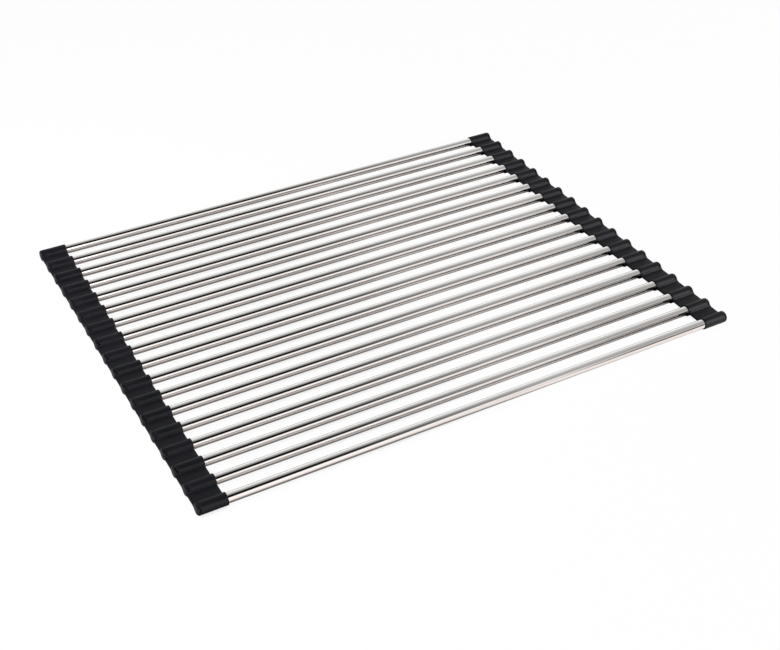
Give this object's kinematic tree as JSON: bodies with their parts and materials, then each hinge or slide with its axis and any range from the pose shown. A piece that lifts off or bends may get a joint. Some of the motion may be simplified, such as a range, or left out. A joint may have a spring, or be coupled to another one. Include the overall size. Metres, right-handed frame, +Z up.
{
  "type": "roll up dish drying rack",
  "caption": "Flat dish drying rack of parallel polished steel tubes held in two flexible black silicone end strips, which rolls up into a bundle for storage.",
  "frame": {"origin": "the middle of the rack, on the surface it rests on", "axes": "+X along the tubes to the right, +Y across the tubes to the back, +Z up"},
  "size_m": [0.445, 0.3496, 0.0092],
  "materials": {
    "polished_steel": "polished stainless steel",
    "black_silicone": "satin moulded silicone"
  },
  "bodies": {
    "rung_01": {"tube_01": "polished_steel", "left_sleeve_01": "black_silicone", "right_sleeve_01": "black_silicone"},
    "rung_02": {"tube_02": "polished_steel", "left_sleeve_02": "black_silicone", "right_sleeve_02": "black_silicone"},
    "rung_03": {"tube_03": "polished_steel", "left_sleeve_03": "black_silicone", "right_sleeve_03": "black_silicone"},
    "rung_04": {"tube_04": "polished_steel", "left_sleeve_04": "black_silicone", "right_sleeve_04": "black_silicone"},
    "rung_05": {"tube_05": "polished_steel", "left_sleeve_05": "black_silicone", "right_sleeve_05": "black_silicone"},
    "rung_06": {"tube_06": "polished_steel", "left_sleeve_06": "black_silicone", "right_sleeve_06": "black_silicone"},
    "rung_07": {"tube_07": "polished_steel", "left_sleeve_07": "black_silicone", "right_sleeve_07": "black_silicone"},
    "rung_08": {"tube_08": "polished_steel", "left_sleeve_08": "black_silicone", "right_sleeve_08": "black_silicone"},
    "rung_09": {"tube_09": "polished_steel", "left_sleeve_09": "black_silicone", "right_sleeve_09": "black_silicone"},
    "rung_10": {"tube_10": "polished_steel", "left_sleeve_10": "black_silicone", "right_sleeve_10": "black_silicone"},
    "rung_11": {"tube_11": "polished_steel", "left_sleeve_11": "black_silicone", "right_sleeve_11": "black_silicone"},
    "rung_12": {"tube_12": "polished_steel", "left_sleeve_12": "black_silicone", "right_sleeve_12": "black_silicone"},
    "rung_13": {"tube_13": "polished_steel", "left_sleeve_13": "black_silicone", "right_sleeve_13": "black_silicone"},
    "rung_14": {"tube_14": "polished_steel", "left_sleeve_14": "black_silicone", "right_sleeve_14": "black_silicone"},
    "rung_15": {"tube_15": "polished_steel", "left_sleeve_15": "black_silicone", "right_sleeve_15": "black_silicone"},
    "rung_16": {"tube_16": "polished_steel", "left_sleeve_16": "black_silicone", "right_sleeve_16": "black_silicone"},
    "rung_17": {"tube_17": "polished_steel", "left_sleeve_17": "black_silicone", "right_sleeve_17": "black_silicone"},
    "rung_18": {"tube_18": "polished_steel", "left_sleeve_18": "black_silicone", "right_sleeve_18": "black_silicone"}
  },
  "joints": [
    {"name": "roll_01", "type": "hinge", "parent": "rung_01", "child": "rung_02", "pos_m": [0, -0.16, 0.004], "axis": [1, 0, 0], "range_deg": [0, 32.2]},
    {"name": "roll_02", "type": "hinge", "parent": "rung_02", "child": "rung_03", "pos_m": [0, -0.14, 0.004], "axis": [1, 0, 0], "range_deg": [0, 33]},
    {"name": "roll_03", "type": "hinge", "parent": "rung_03", "child": "rung_04", "pos_m": [0, -0.12, 0.004], "axis": [1, 0, 0], "range_deg": [0, 33.9]},
    {"name": "roll_04", "type": "hinge", "parent": "rung_04", "child": "rung_05", "pos_m": [0, -0.1, 0.004], "axis": [1, 0, 0], "range_deg": [0, 34.9]},
    {"name": "roll_05", "type": "hinge", "parent": "rung_05", "child": "rung_06", "pos_m": [0, -0.08, 0.004], "axis": [1, 0, 0], "range_deg": [0, 36]},
    {"name": "roll_06", "type": "hinge", "parent": "rung_06", "child": "rung_07", "pos_m": [0, -0.06, 0.004], "axis": [1, 0, 0], "range_deg": [0, 37.2]},
    {"name": "roll_07", "type": "hinge", "parent": "rung_07", "child": "rung_08", "pos_m": [0, -0.04, 0.004], "axis": [1, 0, 0], "range_deg": [0, 38.5]},
    {"name": "roll_08", "type": "hinge", "parent": "rung_08", "child": "rung_09", "pos_m": [0, -0.02, 0.004], "axis": [1, 0, 0], "range_deg": [0, 40]},
    {"name": "roll_09", "type": "hinge", "parent": "rung_09", "child": "rung_10", "pos_m": [0, 0, 0.004], "axis": [1, 0, 0], "range_deg": [0, 41.7]},
    {"name": "roll_10", "type": "hinge", "parent": "rung_10", "child": "rung_11", "pos_m": [0, 0.02, 0.004], "axis": [1, 0, 0], "range_deg": [0, 43.6]},
    {"name": "roll_11", "type": "hinge", "parent": "rung_11", "child": "rung_12", "pos_m": [0, 0.04, 0.004], "axis": [1, 0, 0], "range_deg": [0, 45.8]},
    {"name": "roll_12", "type": "hinge", "parent": "rung_12", "child": "rung_13", "pos_m": [0, 0.06, 0.004], "axis": [1, 0, 0], "range_deg": [0, 48.3]},
    {"name": "roll_13", "type": "hinge", "parent": "rung_13", "child": "rung_14", "pos_m": [0, 0.08, 0.004], "axis": [1, 0, 0], "range_deg": [0, 51.3]},
    {"name": "roll_14", "type": "hinge", "parent": "rung_14", "child": "rung_15", "pos_m": [0, 0.1, 0.004], "axis": [1, 0, 0], "range_deg": [0, 55]},
    {"name": "roll_15", "type": "hinge", "parent": "rung_15", "child": "rung_16", "pos_m": [0, 0.12, 0.004], "axis": [1, 0, 0], "range_deg": [0, 59.6]},
    {"name": "roll_16", "type": "hinge", "parent": "rung_16", "child": "rung_17", "pos_m": [0, 0.14, 0.004], "axis": [1, 0, 0], "range_deg": [0, 65.6]},
    {"name": "roll_17", "type": "hinge", "parent": "rung_17", "child": "rung_18", "pos_m": [0, 0.16, 0.004], "axis": [1, 0, 0], "range_deg": [0, 73.7]}
  ],
  "couplings": [
    {"joint": "roll_01", "follows": "roll_17", "ratio": 0.4345},
    {"joint": "roll_02", "follows": "roll_17", "ratio": 0.4459},
    {"joint": "roll_03", "follows": "roll_17", "ratio": 0.4583},
    {"joint": "roll_04", "follows": "roll_17", "ratio": 0.4718},
    {"joint": "roll_05", "follows": "roll_17", "ratio": 0.4866},
    {"joint": "roll_06", "follows": "roll_17", "ratio": 0.5029},
    {"joint": "roll_07", "follows": "roll_17", "ratio": 0.5209},
    {"joint": "roll_08", "follows": "roll_17", "ratio": 0.5409},
    {"joint": "roll_09", "follows": "roll_17", "ratio": 0.5635},
    {"joint": "roll_10", "follows": "roll_17", "ratio": 0.5892},
    {"joint": "roll_11", "follows": "roll_17", "ratio": 0.6188},
    {"joint": "roll_12", "follows": "roll_17", "ratio": 0.6533},
    {"joint": "roll_13", "follows": "roll_17", "ratio": 0.6943},
    {"joint": "roll_14", "follows": "roll_17", "ratio": 0.7442},
    {"joint": "roll_15", "follows": "roll_17", "ratio": 0.8066},
    {"joint": "roll_16", "follows": "roll_17", "ratio": 0.8878}
  ]
}
